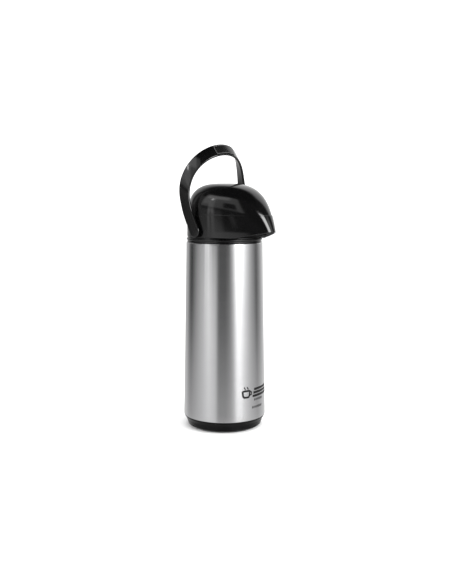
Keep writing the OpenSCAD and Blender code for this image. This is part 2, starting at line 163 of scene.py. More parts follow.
def rounded(points, radius, steps):
    """The closed outline points, with every corner turned into an arc of about that radius."""
    share = 0.45  # of the shorter side, the most that an arc may take
    tiny = 1e-6
    out = []
    count = len(points)
    for i, here in enumerate(points):
        p = np.array(here[:2], float)
        a = np.array(points[i - 1][:2], float)
        b = np.array(points[(i + 1) % count][:2], float)
        r = here[2] if len(here) > 2 else radius
        reach = min(r, share * np.linalg.norm(a - p), share * np.linalg.norm(b - p))
        if reach < tiny or p[0] < tiny:
            out.append(tuple(p))
            continue
        start = p + (a - p) / np.linalg.norm(a - p) * reach
        end = p + (b - p) / np.linalg.norm(b - p) * reach
        for k in range(steps + 1):
            t = k / steps
            out.append(tuple((1 - t) ** 2 * start + 2 * t * (1 - t) * p + t * t * end))
    return out


def mm_profile(*points):
    """[r, z] points in millimetres, turned to metres; a third value is a corner's own radius."""
    return [tuple(v * MM for v in p) for p in points]


# ---- Materials -------------------------------------------------------------------------------


class Mat:
    """A node material with one Principled shader, and short calls for its patterns."""

    MIX_A, MIX_B, MIX_OUT = 6, 7, 2  # the colour sockets of a Mix node

    def __init__(self, name, color, **sockets):
        self.mat = bpy.data.materials.new(name)
        self.mat.use_nodes = True
        self.nodes = self.mat.node_tree.nodes
        self.links = self.mat.node_tree.links
        self.shader = self.nodes["Principled BSDF"]
        self.shader.inputs["Base Color"].default_value = (*color, 1)
        for key, value in sockets.items():
            self.shader.inputs[key.replace("_", " ")].default_value = value

    def node(self, kind, **inputs):
        made = self.nodes.new(kind)
        for key, value in inputs.items():
            made.inputs[key.replace("_", " ")].default_value = value
        return made

    def noise(self, scale, detail, stretch=(1, 1, 1)):
        where = self.nodes.new("ShaderNodeTexCoord")
        mapping = self.nodes.new("ShaderNodeMapping")
        mapping.inputs["Scale"].default_value = stretch
        self.links.new(where.outputs["Object"], mapping.inputs["Vector"])
        made = self.node("ShaderNodeTexNoise", Scale=scale, Detail=detail)
        self.links.new(mapping.outputs["Vector"], made.inputs["Vector"])
        return made.outputs["Fac"]

    def ramp(self, value, low, high, start=0.3, end=0.7):
        """Maps value from start..end, where most of a noise lies, to low..high."""
        made = self.node("ShaderNodeMapRange", From_Min=start, From_Max=end, To_Min=low, To_Max=high)
        self.links.new(value, made.inputs["Value"])
        return made.outputs["Result"]

    def tint(self, value, dark, light):
        """Colour between dark and light by value."""
        made = self.nodes.new("ShaderNodeMix")
        made.data_type = "RGBA"
        made.inputs[self.MIX_A].default_value = (*dark, 1)
        made.inputs[self.MIX_B].default_value = (*light, 1)
        self.links.new(value, made.inputs[0])
        self.links.new(made.outputs[self.MIX_OUT], self.shader.inputs["Base Color"])

    def drive(self, socket, value):
        self.links.new(value, self.shader.inputs[socket])

    def bump(self, value, height, strength):
        made = self.node("ShaderNodeBump", Strength=strength, Distance=height)
        self.links.new(value, made.inputs["Height"])
        self.links.new(made.outputs["Normal"], self.shader.inputs["Normal"])


def patchy(name, color, rough, patches, dark, light, mottle, grain=None, **sockets):
    """A material whose roughness drifts in patches, and whose tone drifts from dark to light.

    patches and mottle are each a noise's scale and detail. grain is a noise's scale and detail, and
    the height and strength of the bumps it makes.
    """
    m = Mat(name, color, **sockets)
    m.drive("Roughness", m.ramp(m.noise(*patches), *rough))
    m.tint(m.noise(*mottle), dark, light)
    if grain:
        scale, detail, height, strength = grain
        m.bump(m.noise(scale, detail), height, strength)
    return m.mat


def brushed_steel():
    m = Mat("brushed_steel", (0.65, 0.65, 0.655), Metallic=1.0, Roughness=0.18, Anisotropic=0.8,
            Anisotropic_Rotation=0.25)
    tangent = m.nodes.new("ShaderNodeTangent")
    tangent.direction_type = "RADIAL"
    tangent.axis = "Z"
    m.links.new(tangent.outputs["Tangent"], m.shader.inputs["Tangent"])
    round_the_body = (0.02, 0.02, 5.0)
    lines = m.noise(900, 4, round_the_body)
    drift = m.noise(14, 3, (1, 1, 0.6))
    m.drive("Roughness", m.ramp(lines, 0.15, 0.21))
    m.tint(m.ramp(drift, 0, 1, 0.25, 0.75), (0.60, 0.60, 0.61), (0.66, 0.66, 0.665))
    m.bump(lines, 0.01 * MM, 0.25)
    return m.mat


MATS = {
    "black_gloss": patchy(
        "gloss_black", (0.002, 0.002, 0.002), rough=(0.06, 0.12), patches=(38, 5), mottle=(24, 3),
        dark=(0.0014, 0.0014, 0.0015), light=(0.0026, 0.0026, 0.0027),
        grain=(160, 3, 0.02 * MM, 0.35), Roughness=0.1, IOR=1.5,
    ),
    "black_satin": patchy(
        "satin_black", (0.006, 0.006, 0.006), rough=(0.26, 0.36), patches=(60, 4), mottle=(45, 4),
        dark=(0.004, 0.004, 0.0042), light=(0.007, 0.007, 0.0072),
        grain=(2600, 3, 0.03 * MM, 0.5), Roughness=0.3, IOR=1.48,
    ),
    "sleeve_steel": brushed_steel(),
    "fixings": patchy(
        "plated_steel", (0.58, 0.58, 0.57), rough=(0.18, 0.34), patches=(300, 4), mottle=(220, 3),
        dark=(0.50, 0.50, 0.50), light=(0.66, 0.66, 0.65), Metallic=1.0, Roughness=0.25,
    ),
    "rubber": patchy(
        "soft_rubber", (0.012, 0.012, 0.012), rough=(0.45, 0.65), patches=(90, 4), mottle=(70, 3),
        dark=(0.010, 0.010, 0.010), light=(0.020, 0.020, 0.020),
        grain=(3200, 2, 0.05 * MM, 0.5), Roughness=0.55, IOR=1.45,
    ),
    "natural_plastic": patchy(
        "natural_plastic", (0.48, 0.48, 0.44), rough=(0.28, 0.42), patches=(120, 3), mottle=(50, 3),
        dark=(0.45, 0.45, 0.41), light=(0.51, 0.51, 0.47), Roughness=0.35, Transmission_Weight=0.12,
    ),
    "silvered_glass": patchy(
        "silvered_glass", (0.82, 0.84, 0.84), rough=(0.05, 0.13), patches=(40, 4), mottle=(18, 3),
        dark=(0.76, 0.77, 0.76), light=(0.86, 0.88, 0.88), Metallic=0.85, Roughness=0.08,
        Coat_Weight=0.6,
    ),
}
INK = patchy(
    "print_ink", (0.006, 0.006, 0.006), rough=(0.34, 0.5), patches=(400, 3), mottle=(500, 3),
    dark=(0.005, 0.005, 0.005), light=(0.009, 0.009, 0.009), Roughness=0.5, IOR=1.3,
)
GRIP = patchy(
    "grip_black", (0.004, 0.004, 0.004), rough=(0.16, 0.26), patches=(80, 4), mottle=(70, 3),
    dark=(0.003, 0.003, 0.003), light=(0.006, 0.006, 0.006),
    grain=(1800, 2, 0.02 * MM, 0.4), Roughness=0.2, IOR=1.5,
)
BASE = patchy(
    "base_black", (0.003, 0.003, 0.003), rough=(0.2, 0.3), patches=(60, 4), mottle=(45, 4),
    dark=(0.002, 0.002, 0.0021), light=(0.004, 0.004, 0.0041),
    grain=(1800, 3, 0.02 * MM, 0.4), Roughness=0.3, IOR=1.3, Specular_IOR_Level=0.25,
)
TRAY = patchy(
    "tray_black", (0.0025, 0.0025, 0.0025), rough=(0.5, 0.62), patches=(60, 4), mottle=(45, 4),
    dark=(0.002, 0.002, 0.0021), light=(0.004, 0.004, 0.0041),
    Roughness=0.55, IOR=1.15, Specular_IOR_Level=0.2,
)
# Grey far paler than the other blacks: a painted highlight, so the bead round the grip's edge shows as a
# light line
RIM_PAINTED_HIGHLIGHT = patchy(
    "rim_painted_highlight", (0.05, 0.05, 0.05), rough=(0.18, 0.3), patches=(80, 4), mottle=(70, 3),
    dark=(0.045, 0.045, 0.045), light=(0.06, 0.06, 0.06), Roughness=0.22, IOR=1.8,
)


def finish_piece(obj, body, slot, *nodes, material=None):
    """Gives a piece its material, its own or else its slot's, and its body, and hides the CAD nodes it
    stands for.
    """
    obj.data.materials.clear()
    obj.data.materials.append(material or MATS[slot])
    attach(obj, body)
    if nodes:
        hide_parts(*nodes)


def dress_nodes():
    """Every CAD node takes the material of its slot; those that stay shown keep it."""
    slots = {s["node"]: s["material_slot"] for s in frame["record"]["subparts"]}
    for name, obj in frame["nodes"].items():
        obj.data.materials.clear()
        obj.data.materials.append(MATS[slots[name]])
        obj.data.polygons.foreach_set("use_smooth", [True] * len(obj.data.polygons))
        obj.data.set_sharp_from_angle(angle=math.radians(SHARP))


# ---- Head: a round outline drawn out towards the beak ----------------------------------------

BEAK_TURN = 0.52  # cosine off the beak's direction from which the outline is drawn out
BEAK_SOFT = 0.12  # how gradually that begins
PULL_LOSS = 0.88  # share of the beak's pull that is gone at the top of the dome
PULL_POWER = 1.24
DOME_ACROSS = 3.0  # superellipse powers of the dome, across and up
DOME_UP = 3.5
SKIN_N = 288  # points round the head
SKIN_Z = Z_RIM + 15 * MM  # where the dome's superellipse springs from
SHELL_LIP = 0.6 * MM
SHELL_WALL = 1.6 * MM
LIP_FOOT = 0.44  # share of the shell's height where the thin lip ends and the wall begins
COVER_R = 48.5 * MM
SKIRT_R = 48.3 * MM
COVER_WALL = 1.6 * MM

ANGLES = 2 * np.pi * np.arange(SKIN_N) / SKIN_N


def draw_out(u):
    """How far the pull moves the outline in a direction whose cosine with the beak is u."""
    return ((u - BEAK_TURN) + np.sqrt((u - BEAK_TURN) ** 2 + BEAK_SOFT**2)) / 2


def draw_out_slope(u):
    """The change of draw_out with u."""
    return (1 + (u - BEAK_TURN) / np.sqrt((u - BEAK_TURN) ** 2 + BEAK_SOFT**2)) / 2


def outline(r, c):
    """x and y of the outline of radius r and beak pull c, one point for each normal direction."""
    sin, cos = np.sin(ANGLES), np.cos(ANGLES)
    reach = r + c * draw_out(cos)
    slide = -c * draw_out_slope(cos) * sin
    return reach * sin + slide * cos, -reach * cos + slide * sin


def pull(z):
    """The beak's pull on the outline at height z."""
    rise = np.maximum(0, z - Z_TIP) / (Z_TOP - Z_TIP)
    return BEAK_PULL * (1 - PULL_LOSS * np.minimum(rise, 1) ** PULL_POWER)


BEAK_REACH = SHELL_R + BEAK_PULL * draw_out(1.0)


def rim_height(y):
    """Height of the shell's rim at y: level round the body, and rising to the beak's tip."""
    return Z_RIM + BEAK_RISE * np.maximum(0, -y - SHELL_R) / (BEAK_REACH - SHELL_R)


def shell_ring(inset, f, lift=0.0):
    """A ring of the head shell, f of the way from its rim to the seam, moved up by lift."""
    _, foot_y = outline(SHELL_R, BEAK_PULL)
    z = Z_RIM + f * (Z_SEAM - Z_RIM) + (1 - f) * (rim_height(foot_y) - Z_RIM) + lift
    x, y = outline(SHELL_R - inset, pull(z))
    return np.stack([x, y, z], 1)


def edge_arc(r, start, end, steps=5):
    """Inset and lift along a rounded edge of radius r, from angle start to end in degrees."""
    angles = np.radians(np.linspace(start, end, steps + 1))
    return [(r - r * math.cos(a), r * math.sin(a)) for a in angles]


def head_shell():
    rim_r = 0.7 * MM
    lip_r = SHELL_LIP / 2
    low, high, lip_top = 0.04, 0.97, 0.95  # shares of the height, clear of the rounded edges
    lip_ramp = 0.08
    rings = [shell_ring(i, 0, rim_r + l) for i, l in edge_arc(rim_r, -90, 0)]
    rings += [shell_ring(0, f) for f in np.linspace(low, high, 26)]
    rings += [shell_ring(i, 1, l - lip_r) for i, l in edge_arc(lip_r, 0, 180, 8)]
    rings += [shell_ring(SHELL_LIP, f) for f in np.linspace(lip_top, LIP_FOOT, 8)]
    rings += [shell_ring(SHELL_WALL, f) for f in np.linspace(LIP_FOOT - lip_ramp, low, 8)]
    rings.append(shell_ring(SHELL_WALL, 0))
    return loft("head_shell_skin", rings, closed=True)


def dome_point(t, inset):
    """Back radius of the dome at angle t up its superellipse, and its heights outside and at inset."""
    z_full = SKIN_Z + (Z_TOP - SKIN_Z) * math.sin(t) ** (2 / DOME_UP)
    z = SKIN_Z + (Z_TOP - inset - SKIN_Z) * math.sin(t) ** (2 / DOME_UP)
    return (COVER_R - inset) * max(math.cos(t), 0) ** (2 / DOME_ACROSS), z_full, z


def press_cover():
    skirt = 1.6 * MM
    edge_r = 0.35 * MM
    step_h = 0.5 * MM
    above_seam = 0.1 * MM
    rows = 44
    first = math.asin(((Z_SEAM + step_h - SKIN_Z) / (Z_TOP - SKIN_Z)) ** (DOME_UP / 2))
    last = math.radians(89.4)
    turns = [first + (last - first) * (i / rows) for i in range(rows + 1)]

    def straight(inset, z):
        x, y = outline(SKIRT_R - inset, pull(Z_SEAM))
        return np.stack([x, y, np.full(SKIN_N, z)], 1)

    def dome(t, inset):
        r, z_full, z = dome_point(t, inset)
        x, y = outline(r, pull(z_full))
        return np.stack([x, y, np.full(SKIN_N, z)], 1)

    outer = [straight(i, Z_SEAM - skirt + edge_r + l) for i, l in edge_arc(edge_r, -90, 0)]
    outer.append(straight(0, Z_SEAM + above_seam))
    outer += [dome(t, 0) for t in turns]
    inner = [dome(t, COVER_WALL) for t in turns]
    inner.insert(0, straight(COVER_WALL, Z_SEAM - skirt))
    n = SKIN_N
    verts = [p for ring in outer + inner for p in ring]
    inside, crown, ceiling = len(outer) * n, len(verts), len(verts) + 1
    verts += [(0, 0, Z_TOP), (0, 0, Z_TOP - COVER_WALL)]
    faces = ring_faces(len(outer), n, False)
    faces += [tuple(inside + i for i in face) for face in ring_faces(len(inner), n, False)]
    for i in range(n):
        k = (i + 1) % n
        faces.append((inside - n + i, inside - n + k, crown))
        faces.append((crown - n + i, crown - n + k, ceiling))
        faces.append((i, k, inside + k, inside + i))
    return mesh_object("press_cover_skin", verts, faces, sharp=50)


# ---- Handle: a hoop laid out flat as [x, s] and bent along a leaning line --------------------

HOOP_HALF_W = 55.6 * MM
HOOP_LEN = 114.5 * MM
STRAP_W = 16.4 * MM
STRAP_T = 3.4 * MM
STRAP_TWIST = math.radians(16.1)
TWIST_FROM = 34.4 * MM  # lengths up the hoop between which the twist comes in
TWIST_TO = 73.2 * MM
ARM_LEAN = math.radians(28.4)  # off the vertical, at the pivots
ARM_STRAIGHT = 21.1 * MM
HOOP_BEND_R = 75.1 * MM
ARCH_START = 47.1 * MM  # length up the hoop where the arms turn into the arch
ARCH_H = HOOP_LEN - ARCH_START
GRIP_HALF_W = 16.3 * MM


def hoop_lean(s):
    """Lean of the hoop off the vertical at length s."""
    return ARM_LEAN - max(0.0, s - ARM_STRAIGHT) / HOOP_BEND_R


def hoop_bend(s):
    """Y and height above the pivots at length s up the hoop."""
    if s <= ARM_STRAIGHT:
        return s * math.sin(ARM_LEAN), s * math.cos(ARM_LEAN)
    lean = hoop_lean(s)
    y = ARM_STRAIGHT * math.sin(ARM_LEAN) + HOOP_BEND_R * (math.cos(lean) - math.cos(ARM_LEAN))
    z = ARM_STRAIGHT * math.cos(ARM_LEAN) + HOOP_BEND_R * (math.sin(ARM_LEAN) - math.sin(lean))
    return y, z


def hoop_twist(s):
    """Twist of the strap at length s, which turns its face forward over the top."""
    f = min(1.0, max(0.0, (s - TWIST_FROM) / (TWIST_TO - TWIST_FROM)))
    return STRAP_TWIST * f * f * (3 - 2 * f)


def hoop_stations(arch_steps, arm_steps, end_steps):
    """[side, x, s, normal x, normal s, half width] from one pivot over the top to the other."""
    end_sweep = 86  # degrees of the round end below the pivot
    half = []
    for i in range(end_steps):
        a = math.radians(end_sweep - end_sweep * i / end_steps)
        half.append((HOOP_HALF_W, -STRAP_W / 2 * math.sin(a), 1, 0, STRAP_W / 2 * math.cos(a)))
    for i in range(arm_steps):
        half.append((HOOP_HALF_W, ARCH_START * i / arm_steps, 1, 0, STRAP_W / 2))
    for i in range(arch_steps + 1):
        t = math.pi / 2 * i / arch_steps
        nx, ns = ARCH_H * math.cos(t), HOOP_HALF_W * math.sin(t)
        size = math.hypot(nx, ns)
        x, s = HOOP_HALF_W * math.cos(t), ARCH_START + ARCH_H * math.sin(t)
        half.append((x, s, nx / size, ns / size, STRAP_W / 2))
    stations = [(-1, *h) for h in half]
    stations += [(1, *h) for h in half[-2::-1]]
    return stations


HOOP_STATIONS = hoop_stations(arch_steps=96, arm_steps=24, end_steps=14)


def strap_section(top, foot, half, radius, steps=5):
    """[n, v] points round a strap's rounded rectangular section."""
    r = min(radius, half * 0.6, (top - foot) / 2)
    edge = half - r
    corners = ((top - r, edge, 0), (foot + r, edge, 90), (foot + r, -edge, 180), (top - r, -edge, 270))
    points = []
    for n, v, start in corners:
        for k in range(steps + 1):
            a = math.radians(start + 90 * k / steps)
            points.append((n + r * math.cos(a), v + r * math.sin(a)))
    return points


def strap_point(side, x, s, nx, ns, n, v):
    """Point of the strap n out from the hoop's outside and v across it, at the place x, s."""
    cos, sin = math.cos(hoop_twist(s)), math.sin(hoop_twist(s))
    out, across = n * cos + v * sin, v * cos - n * sin
    px, ps = x + out * nx, s + out * ns
    y, z = hoop_bend(ps)
    lean = hoop_lean(ps)
    return side * px, y + across * math.cos(lean), Z_PIVOT + z - across * math.sin(lean)


def arch_point(x, n, v):
    """Point over the top of the hoop, where x runs from arm to arm."""
    t = math.acos(abs(x) / HOOP_HALF_W)
    nx, ns = ARCH_H * math.cos(t), HOOP_HALF_W * math.sin(t)
    size = math.hypot(nx, ns)
    s = ARCH_START + ARCH_H * math.sin(t)
    return Vector(strap_point(math.copysign(1, x), abs(x), s, nx / size, ns / size, n, v))


def strap(name, stations, top, foot, inset, radius):
    """A strap along the hoop, from foot to top off its outside and inset from its edges."""
    narrowest = 0.3 * MM
    rings = []
    for *place, half in stations:
        section = strap_section(top, foot, max(half - inset, narrowest), radius)
        rings.append([strap_point(*place, n, v) for n, v in section])
    return loft(name, rings, sharp=50)


def handle():
    corner_r = 1.35 * MM
    return strap("handle_hoop", HOOP_STATIONS, 0, -STRAP_T, 0, corner_r)


def handle_grip():
    proud, sunk, inset, corner_r = 0.9 * MM, 0.1 * MM, 2.2 * MM, 0.4 * MM
    stations = [s for s in HOOP_STATIONS if abs(s[1]) <= GRIP_HALF_W]
    return strap("handle_grip_pad", stations, proud, -sunk, inset, corner_r)


def grip_rim():
    """Round bead along the edge of the grip."""
    wire = 0.42 * MM
    height = 0.75 * MM
    turn_r = 1.8 * MM
    end_inset, side_inset = 0.5 * MM, 2.5 * MM
    turn_steps, half_side_steps, wire_steps = 8, 15, 10
    mid_x, mid_v = GRIP_HALF_W - end_inset - turn_r, STRAP_W / 2 - side_inset - turn_r
    path = []
    for sx, sv, start in ((1, 1, 0), (-1, 1, 90), (-1, -1, 180), (1, -1, 270)):
        for k in range(turn_steps + 1):
            a = math.radians(start + 90 * k / turn_steps)
            path.append((sx * mid_x + turn_r * math.cos(a), sv * mid_v + turn_r * math.sin(a)))
        if start in (0, 180):
            shares = [1 - k / half_side_steps for k in range(1, 2 * half_side_steps)]
            path += [(sx * mid_x * f, sv * (mid_v + turn_r)) for f in shares]
    rings = []
    for i, (x, v) in enumerate(path):
        mid = arch_point(x, height, v)
        up = (arch_point(x, height + MM, v) - mid).normalized()
        (x1, v1), (x0, v0) = path[(i + 1) % len(path)], path[i - 1]
        ahead, behind = arch_point(x1, height, v1), arch_point(x0, height, v0)
        side = (ahead - behind).cross(up).normalized()
        turns = [2 * math.pi * k / wire_steps for k in range(wire_steps)]
        rings.append([tuple(mid + wire * (up * math.sin(a) + side * math.cos(a))) for a in turns])
    return loft("grip_rim", rings, closed=True, sharp=80)


# ---- Body ------------------------------------------------------------------------------------


def sleeve_radius(z):
    """Radius of the tapered sleeve at height z."""
    return SLEEVE_FOOT_R + (SLEEVE_TOP_R - SLEEVE_FOOT_R) * (z - Z_SLEEVE) / (Z_NECK - Z_SLEEVE)


def steel_sleeve():
    wall = 0.6 * MM
    curl_h, curl_in, curl_steps = 0.6 * MM, 0.3 * MM, 8
    mouth_r, mouth_steps = 0.7 * MM, 6
    plain_from, plain_to = Z_SLEEVE + 8 * MM, Z_NECK - 2 * MM
    profile = []
    for i in range(curl_steps + 1):
        a = math.pi / 2 * i / curl_steps
        z = Z_SLEEVE + curl_h * (1 - math.cos(a))
        profile.append((sleeve_radius(z) - curl_in * (1 - math.sin(a)), z))
    profile += [(sleeve_radius(z), z) for z in np.linspace(plain_from, plain_to, 14)]
    for i in range(mouth_steps + 1):
        a = math.pi / 2 * i / mouth_steps
        r, z = mouth_r * (1 - math.cos(a)), Z_NECK - mouth_r * (1 - math.sin(a))
        profile.append((SLEEVE_TOP_R - r, z))
    profile.append((SLEEVE_TOP_R - wall - 0.2 * MM, Z_NECK - wall))
    inside = np.linspace(plain_to - MM, plain_from, 8)
    profile += [(sleeve_radius(z) - wall, z) for z in inside]
    profile.append((sleeve_radius(Z_SLEEVE) - curl_in - wall, Z_SLEEVE + wall))
    return lathe("steel_sleeve_skin", profile, steps=256)


def neck_collar():
    """Plug inside the steel, a bead on the steel's edge, a wider one above, a wall round the mouth."""
    z = Z_NECK / MM
    top = Z_FLANGE / MM
    mouth, rim, inner, outer = 27.1, 30, 46.5, 49.2
    plug_foot, floor_low, floor_high = z - 9.4, z - 3.4, z - 0.4
    profile = mm_profile(
        (mouth, z - 11.4), (rim, z - 11.4), (rim, floor_low), (inner, floor_low), (inner, plug_foot),
        (49.6, plug_foot), (49.6, z + 0.05), (49.7, z + 0.4), (outer, z + 0.9), (outer, z + 3.1),
        (50.2, z + 3.6, 0.4), (50.2, z + 5.6, 0.5), (49.1, z + 6.1), (49.1, top, 0.3), (inner, top),
        (inner, floor_high), (rim, floor_high), (rim, top), (mouth, top),
    )
    return lathe("neck_collar_skin", rounded(profile, radius=0.25 * MM, steps=3), steps=224)


def base_cap():
    """Foot ring, rounded edge with a fine groove, flare out to the steel, and the wall inside it."""
    foot, edge, groove, flare = 31.2, 49.6, 49.2, 54.7
    floor, wall_in, wall_out, wall_top = 4, 51.6, 53.8, 27
    profile = mm_profile(
        (foot, 1.5), (foot, 0, 0.3), (45.4, 0, 0.5), (46.4, 0.25, 0.6), (edge, 2.8, 0.9),
        (edge, 3.3, 0.2), (groove, 3.5, 0.1), (groove, 3.9, 0.1), (49.9, 4.1, 0.2), (50.7, 6.6, 1),
        (51.4, 8.8, 1), (52.4, 10.8, 1), (53.7, 12.8, 1), (flare, 15.1, 0.3), (54.4, 15.38, 0.1),
        (54.0, 15.4, 0.1), (wall_out, wall_top), (wall_in, wall_top), (wall_in, 16), (48, 12),
        (48, floor), (0, floor), (0, 1.5),
    )
    profile = rounded(profile, radius=0.3 * MM, steps=4)
    return lathe("base_cap_skin", profile, steps=256, closed=False)


def foot_pad():
    """Anti-slip disc with shallow moulded rings in its underside."""
    r, top = PAD_HIGH.x, PAD_HIGH.z
    groove, ridge, edge = 0.4 * MM, 1.1 * MM, 0.5 * MM
    grooves, spacing = 6, r / 7.4
    points = [(0, 0)]
    for i in range(1, grooves + 1):
        near, far = spacing * i - ridge, spacing * i + ridge
        points += [(near, 0), (near + groove, groove), (far - groove, groove), (far, 0)]
    points += [(r - edge, 0), (r, edge), (r, top), (0, top)]
    return lathe("foot_pad_disc", points, steps=160, closed=False)


def bellows():
    low, high = BELLOWS_LOW.z, BELLOWS_HIGH.z
    r = BELLOWS_HIGH.x
    folds, depth, wall, clear = 5, 7 * MM, 0.8 * MM, 0.1 * MM
    fullness = 0.8  # below 1 widens the dips
    steps = 100
    outer = []
    for i in range(steps + 1):
        t = i / steps
        dip = (1 - math.cos(2 * math.pi * folds * t)) / 2
        outer.append((r - clear - depth * dip**fullness, low + (high - low) * t))
    inner = [(a - wall, z) for a, z in outer[::-1]]
    return lathe("bellows_folds", outer + inner, steps=128)


def return_spring():
    turns, wire, wire_steps = 6, 0.8 * MM, 12
    coil_r = SPRING_HIGH.x - wire
    steps = turns * 48
    rings = []
    for i in range(steps + 1):
        a = 2 * math.pi * turns * i / steps
        z = SPRING_LOW.z + wire + (SPRING_HIGH.z - SPRING_LOW.z - 2 * wire) * i / steps
        ring = []
        for k in range(wire_steps):
            b = 2 * math.pi * k / wire_steps
            r = coil_r + wire * math.cos(b)
            ring.append((r * math.cos(a), r * math.sin(a), z + wire * math.sin(b)))
        rings.append(ring)
    return loft("return_spring_coil", rings)


# ---- Generic printed mark --------------------------------------------------------------------

MARK_TURN = math.radians(-78)
MARK_Z = 52 * MM
INK_LOW = 0.02 * MM  # the ink's two faces, off the steel
INK_HIGH = 0.07 * MM


def on_sleeve(u, v, lift):
    """Point of the sleeve at u round it and v above the mark's middle, lift off the steel."""
    z = MARK_Z + v
    r = sleeve_radius(z) + lift
    a = MARK_TURN + u / r
    return r * math.cos(a), r * math.sin(a), z


def stroke(points, width):
    """Four-point rings of a thin printed line along flat [u, v] points."""
    step = 0.8 * MM
    path = np.array(points, float)
    steps = []
    for a, b in zip(path, path[1:]):
        count = max(1, int(np.linalg.norm(b - a) / step))
        steps += [a + (b - a) * k / count for k in range(count)]
    steps.append(path[-1])
    steps = np.array(steps)
    along = np.gradient(steps, axis=0)
    along /= np.linalg.norm(along, axis=1)[:, None]
    across = np.stack([-along[:, 1], along[:, 0]], 1) * width / 2
    rings = []
    for p, w in zip(steps, across):
        rings.append([
            on_sleeve(*(p - w), INK_LOW), on_sleeve(*(p + w), INK_LOW),
            on_sleeve(*(p + w), INK_HIGH), on_sleeve(*(p - w), INK_HIGH),
        ])
    return rings


def wisp(u):
    """A wavy line of steam that rises above the cup at u."""
    low, high, swing, steps = 5.6 * MM, 9 * MM, 0.8 * MM, 24
    return [
        (u + swing * math.sin(2 * math.pi * k / steps), low + (high - low) * k / steps)
        for k in range(steps + 1)
    ]


def printed_mark():
    """A cup under two wisps of steam, beside three rules, and two rows of ticks below. Sizes in mm."""
    cup_u, wisp_off = -24, 2.2
    bold, medium, fine, rule = 2.6 * MM, 1.7 * MM, 1.3 * MM, 3.1 * MM
    cup = [(-5.6, 3.6), (-5, -2.6), (-3.4, -4.8), (3.4, -4.8), (5, -2.6), (5.6, 3.6), (-5.6, 3.6)]
    ear = [(5.4, 2), (8.6, 1.8), (8.4, -1.8), (4.8, -2.6)]
    lines = [([((cup_u + u) * MM, v * MM) for u, v in cup], bold)]
    lines.append(([((cup_u + u) * MM, v * MM) for u, v in ear], medium))
    lines += [(wisp((cup_u + side * wisp_off) * MM), fine) for side in (-1, 1)]
    rule_end, rule_gap = 31, 4.4
    for k, rule_start in enumerate((-10.5, -12, -13.5)):
        v = rule_gap * (1 - k) * MM
        lines.append(([(rule_start * MM, v), (rule_end * MM, v)], rule))
    tick_gap, tick_half, tick_slant = 2.4, 1.5, 0.5
    for row, first, count in ((-9.6, -10, 8), (-19.5, -14, 9)):
        low, high = (row - tick_half) * MM, (row + tick_half) * MM
        for k in range(count):
            u = (first + tick_gap * k) * MM
            lines.append(([(u, low), (u + tick_slant * MM, high)], fine))
    verts, faces = [], []
    for points, width in lines:
        rings = stroke(points, width)
        start = len(verts)
        verts += [p for ring in rings for p in ring]
        faces += [tuple(start + i for i in f) for f in ring_faces(len(rings), 4, False)]
        end = len(verts) - 4
        faces += [(start + 3, start + 2, start + 1, start), (end, end + 1, end + 2, end + 3)]
    return mesh_object("printed_mark", verts, faces)


# ---- Studio ----------------------------------------------------------------------------------

CAMERA_TURN = -45.0  # azimuth, in degrees
CAMERA_BACK = 1.0497  # metres from the object's axis
CAMERA_UP = 0.3149
CAMERA_SIDE = 0.002
CAMERA_PITCH = 7.32  # degrees below level
LENS = 48.67  # millimetres, on a sensor 36 mm wide
SURROUND = 1.5  # brightness of the even white room
AIM_UP = 0.2  # height that the lamps point at


def side_vectors(turn):
    """Unit vectors towards the camera and to its right, level, at azimuth turn in degrees."""
    a = math.radians(turn)
    return Vector((math.sin(a), -math.cos(a), 0)), Vector((math.cos(a), math.sin(a), 0))


def camera():
    back, right = side_vectors(CAMERA_TURN)
    data = bpy.data.cameras.new("camera")
    data.lens = LENS
    data.sensor_width = 36
    data.clip_end = 50
    obj = bpy.data.objects.new("camera", data)
    bpy.context.scene.collection.objects.link(obj)
    obj.location = back * CAMERA_BACK + right * CAMERA_SIDE + Vector((0, 0, CAMERA_UP))
    pitch = math.radians(CAMERA_PITCH)
    aim = -back * math.cos(pitch) - Vector((0, 0, math.sin(pitch)))
    obj.rotation_euler = aim.to_track_quat("-Z", "Y").to_euler()
    bpy.context.scene.camera = obj


def floor():
    size = 6.0
    corners = [(-size, -size, 0), (size, -size, 0), (size, size, 0), (-size, size, 0)]
    obj = mesh_object("floor", corners, [(0, 1, 2, 3)])
    m = Mat("floor_white", (0.9, 0.9, 0.9), Roughness=0.6)
    m.tint(m.noise(3, 2), (0.89, 0.89, 0.89), (0.91, 0.91, 0.91))
    obj.data.materials.append(m.mat)
    obj.visible_glossy = False


def softbox(name, turn, up, distance, size, power):
    """A square lamp that faces the object; turn is degrees to the right of the camera."""
    back, _ = side_vectors(CAMERA_TURN + turn)
    data = bpy.data.lights.new(name, "AREA")
    data.size = size
    data.energy = power
    obj = bpy.data.objects.new(name, data)
    bpy.context.scene.collection.objects.link(obj)
    obj.location = back * distance + Vector((0, 0, up))
    aim = Vector((0, 0, AIM_UP)) - obj.location
    obj.rotation_euler = aim.to_track_quat("-Z", "Y").to_euler()
    obj.visible_glossy = False
    obj.visible_camera = False


